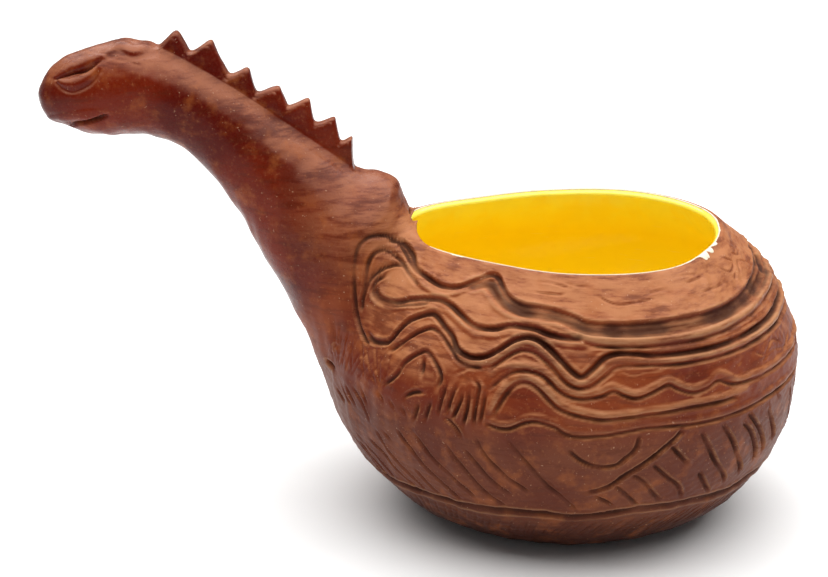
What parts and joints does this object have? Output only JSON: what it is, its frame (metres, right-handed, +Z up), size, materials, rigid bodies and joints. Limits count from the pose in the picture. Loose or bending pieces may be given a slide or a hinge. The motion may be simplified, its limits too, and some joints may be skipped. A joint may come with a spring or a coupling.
{
  "type": "tiki mug",
  "caption": "Round carved ceramic mug with a flat foot, an open glazed bowl, and a curved neck with a crested sea-creature head rising from one shoulder as its handle.",
  "frame": {"origin": "centre of the round flat foot, on the surface the mug stands on", "axes": "+Z up; +X from the head towards the bowl, so the neck and head lie towards -X; the neck and head are symmetric about the plane Y = 0"},
  "size_m": [0.226, 0.143, 0.1451],
  "materials": {
    "stained_clay": "satin",
    "yellow_glaze": "gloss",
    "white_slip": "satin"
  },
  "bodies": {
    "root": {"bowl": "stained_clay", "glaze_lining": "yellow_glaze", "lip_slip": "white_slip", "neck": "stained_clay", "head": "stained_clay", "lower_jaw": "stained_clay", "eyelid_upper_left": "stained_clay", "eyelid_lower_left": "stained_clay", "eyelid_upper_right": "stained_clay", "eyelid_lower_right": "stained_clay", "crest_strip": "stained_clay", "crest_spine_1": "stained_clay", "crest_spine_2": "stained_clay", "crest_spine_3": "stained_clay", "crest_spine_4": "stained_clay", "crest_spine_5": "stained_clay", "crest_spine_6": "stained_clay", "crest_spine_7": "stained_clay", "nape_lug": "stained_clay"}
  },
  "joints": []
}
